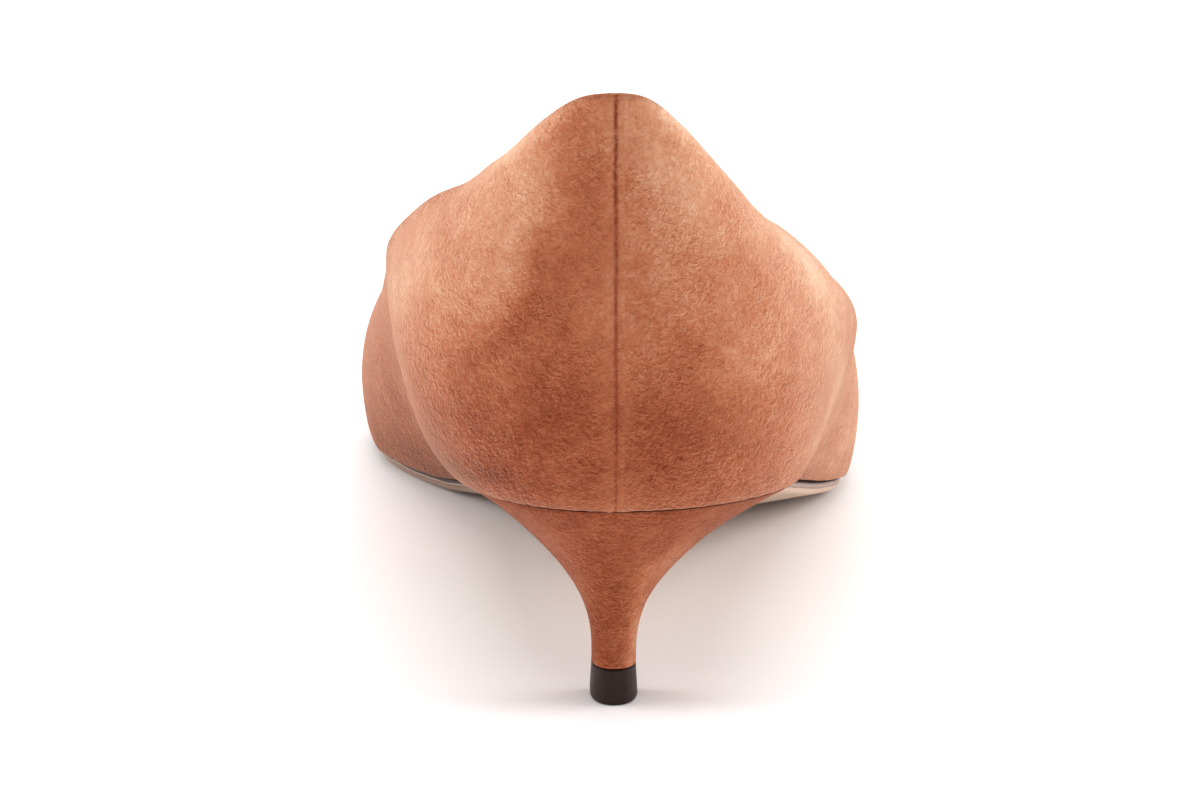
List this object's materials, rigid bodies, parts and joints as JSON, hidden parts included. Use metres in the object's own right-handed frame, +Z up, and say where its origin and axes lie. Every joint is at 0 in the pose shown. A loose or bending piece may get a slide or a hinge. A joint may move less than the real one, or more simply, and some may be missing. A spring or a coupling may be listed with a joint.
{
  "type": "suede pump",
  "caption": "Pointed kitten-heel pump for the right foot: a suede upper open at the collar, a thin leather sole, a footbed and a slim suede-covered heel with a dark tip.",
  "frame": {"origin": "on the floor, under the middle of the shoe's bounding box", "axes": "+Y from the back of the heel to the toe, +X to the outer side of the foot, +Z up"},
  "size_m": [0.0834, 0.2502, 0.0952],
  "materials": {
    "suede": "terracotta suede with a short brushed nap",
    "sole_leather": "smooth beige leather with a taupe painted edge",
    "sock_leather": "fine-grained pale leather",
    "heel_suede": "terracotta suede cover with a short nap",
    "tip_rubber": "dark brown, satin"
  },
  "bodies": {
    "root": {"upper": "suede", "outsole": "sole_leather", "insole": "sock_leather", "heel": "heel_suede", "top_piece": "tip_rubber"}
  },
  "joints": []
}
